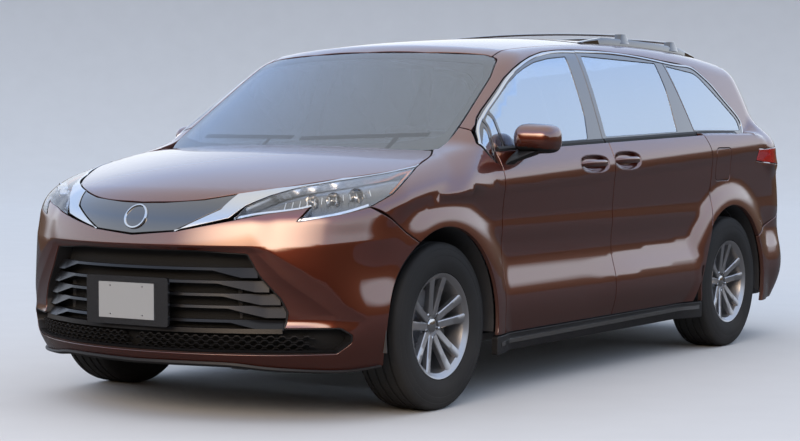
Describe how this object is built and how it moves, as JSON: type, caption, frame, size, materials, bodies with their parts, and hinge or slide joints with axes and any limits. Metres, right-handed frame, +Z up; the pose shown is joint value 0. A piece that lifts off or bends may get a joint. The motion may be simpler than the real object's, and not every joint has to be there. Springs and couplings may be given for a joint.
{
  "type": "minivan",
  "caption": "Family minivan with sliding rear doors, hinged front doors, tailgate, bonnet, steered front wheels and a seated cabin.",
  "frame": {"origin": "on the ground, at the middle of the van's length and width", "axes": "+X to the van's left, +Y to its rear, +Z up"},
  "size_m": [2.2534, 5.1746, 1.7749],
  "materials": {
    "paint": "deep reddish-brown metallic gloss",
    "glass": "tinted safety glass",
    "lamp": "clear lamp cover",
    "red_lamp": "red lamp cover",
    "black_trim": "black grained plastic",
    "gloss_black": "gloss black",
    "alloy": "machined and lacquered",
    "tyre": "black rubber",
    "steel": "bare steel",
    "cast": "as cast",
    "engine": "cast aluminium",
    "chassis": "black underbody coating",
    "interior": "soft-touch dark grey",
    "seat": "dark upholstery",
    "tank": "black moulded plastic",
    "plate": "blank white plate"
  },
  "bodies": {
    "body": {"fender_left": "paint", "fender_right": "paint", "front_bumper": "paint", "nose_panel": "paint", "sliding_door_left": "paint", "sliding_door_right": "paint", "body_side_left": "paint", "body_side_right": "paint", "roof_panel": "paint", "rear_bumper": "paint", "windshield": "glass", "side_glass": "glass", "headlamps": "lamp", "tail_lamps": "red_lamp", "grille": "black_trim", "cowl_panel": "black_trim", "wipers": "black_trim", "side_skirts": "black_trim", "roof_rails": "black_trim", "front_plate": "plate", "dashboard": "interior", "seats_front": "seat", "seats_second_row": "seat", "seat_third_row": "seat", "engine_block": "engine", "radiator": "engine", "floor_pan": "chassis", "front_subframe": "chassis", "rear_subframe": "chassis", "fuel_tank": "tank", "exhaust": "steel"},
    "hood_body": {"hood": "paint"},
    "front_door_left_body": {"front_door_left": "paint", "front_door_glass_left": "glass", "mirror_left": "gloss_black"},
    "front_door_right_body": {"front_door_right": "paint", "front_door_glass_right": "glass", "mirror_right": "gloss_black"},
    "tailgate_body": {"tailgate": "paint", "tailgate_glass": "glass", "tailgate_lamps": "red_lamp"},
    "fuel_door_body": {"fuel_door": "paint"},
    "steering_wheel_body": {"steering_wheel": "interior"},
    "knuckle_left_body": {"knuckle_left": "cast"},
    "knuckle_right_body": {"knuckle_right": "cast"},
    "wheel_front_left_body": {"tyre_front_left": "tyre", "wheel_front_left": "alloy"},
    "wheel_front_right_body": {"tyre_front_right": "tyre", "wheel_front_right": "alloy"},
    "wheel_rear_left_body": {"tyre_rear_left": "tyre", "wheel_rear_left": "alloy"},
    "wheel_rear_right_body": {"tyre_rear_right": "tyre", "wheel_rear_right": "alloy"}
  },
  "joints": [
    {"name": "hood_hinge", "type": "hinge", "parent": "body", "child": "hood_body", "pos_m": [0, -1.384, 1.104], "axis": [-1, 0, 0], "range_deg": [0, 50]},
    {"name": "front_door_left_hinge", "type": "hinge", "parent": "body", "child": "front_door_left_body", "pos_m": [0.93, -1.05, 0.7], "axis": [0, 0, -1], "range_deg": [0, 65]},
    {"name": "front_door_right_hinge", "type": "hinge", "parent": "body", "child": "front_door_right_body", "pos_m": [-0.93, -1.05, 0.7], "axis": [0, 0, 1], "range_deg": [0, 65]},
    {"name": "tailgate_hinge", "type": "hinge", "parent": "body", "child": "tailgate_body", "pos_m": [0, 2.05, 1.625], "axis": [1, 0, 0], "range_deg": [0, 70]},
    {"name": "fuel_door_hinge", "type": "hinge", "parent": "body", "child": "fuel_door_body", "pos_m": [0.968, 1.241, 1.0365], "axis": [0.2135, 0, -0.9769], "range_deg": [0, 95]},
    {"name": "steering_wheel_turn", "type": "hinge", "parent": "body", "child": "steering_wheel_body", "pos_m": [0.4, -0.62, 0.985], "axis": [0, 0.9135, 0.4067], "range_deg": [-470, 470]},
    {"name": "steer_left", "type": "hinge", "parent": "body", "child": "knuckle_left_body", "pos_m": [0.762, -1.617, 0.3685], "axis": [-0.2198, 0, 0.9755], "range_deg": [-33, 33]},
    {"name": "steer_right", "type": "hinge", "parent": "body", "child": "knuckle_right_body", "pos_m": [-0.762, -1.617, 0.3685], "axis": [0.2198, 0, 0.9755], "range_deg": [-33, 33]},
    {"name": "wheel_front_left_spin", "type": "hinge", "parent": "knuckle_left_body", "child": "wheel_front_left_body", "pos_m": [0.855, -1.617, 0.3685], "axis": [1, 0, 0], "continuous": true},
    {"name": "wheel_front_right_spin", "type": "hinge", "parent": "knuckle_right_body", "child": "wheel_front_right_body", "pos_m": [-0.855, -1.617, 0.3685], "axis": [1, 0, 0], "continuous": true},
    {"name": "wheel_rear_left_spin", "type": "hinge", "parent": "body", "child": "wheel_rear_left_body", "pos_m": [0.8625, 1.443, 0.3685], "axis": [1, 0, 0], "continuous": true},
    {"name": "wheel_rear_right_spin", "type": "hinge", "parent": "body", "child": "wheel_rear_right_body", "pos_m": [-0.8625, 1.443, 0.3685], "axis": [1, 0, 0], "continuous": true}
  ],
  "couplings": [
    {"joint": "steer_right", "follows": "steer_left", "ratio": 1}
  ]
}
